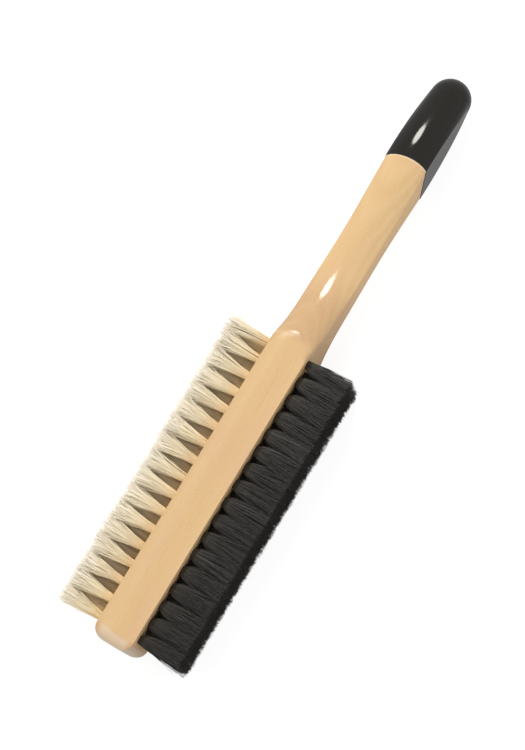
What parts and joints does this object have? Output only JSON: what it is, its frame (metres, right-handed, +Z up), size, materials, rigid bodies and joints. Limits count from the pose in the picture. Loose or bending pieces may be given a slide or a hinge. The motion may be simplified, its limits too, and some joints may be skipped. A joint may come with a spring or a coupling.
{
  "type": "double-sided hand brush",
  "caption": "Long-handled wooden hand brush with cream bristle tufts on one face, black bristle tufts on the other, and a black-dipped handle end.",
  "frame": {"origin": "middle of the bottom of the bounding box; the brush lies on its lower narrow edge, which is at z = 0", "axes": "+X along the brush from the head to the tip of the handle, +Y towards the cream bristle, +Z up through the upper narrow edge"},
  "size_m": [0.3152, 0.0648, 0.045],
  "materials": {
    "lacquered_wood": "clear satin lacquer over pale beech",
    "black_lacquer": "dipped gloss black lacquer",
    "cream_bristle": "natural bleached bristle, dry",
    "black_bristle": "black bristle, slight sheen",
    "anchor_steel": "plain strip steel"
  },
  "bodies": {
    "root": {"wooden_stock": "lacquered_wood", "handle_end_dip": "black_lacquer", "cream_bristle_row_1": "cream_bristle", "cream_bristle_row_2": "cream_bristle", "cream_bristle_row_3": "cream_bristle", "cream_bristle_row_4": "cream_bristle", "cream_bristle_row_5": "cream_bristle", "black_bristle_row_1": "black_bristle", "black_bristle_row_2": "black_bristle", "black_bristle_row_3": "black_bristle", "black_bristle_row_4": "black_bristle", "black_bristle_row_5": "black_bristle", "cream_anchor_row_1": "anchor_steel", "cream_anchor_row_2": "anchor_steel", "cream_anchor_row_3": "anchor_steel", "cream_anchor_row_4": "anchor_steel", "cream_anchor_row_5": "anchor_steel", "black_anchor_row_1": "anchor_steel", "black_anchor_row_2": "anchor_steel", "black_anchor_row_3": "anchor_steel", "black_anchor_row_4": "anchor_steel", "black_anchor_row_5": "anchor_steel"}
  },
  "joints": []
}
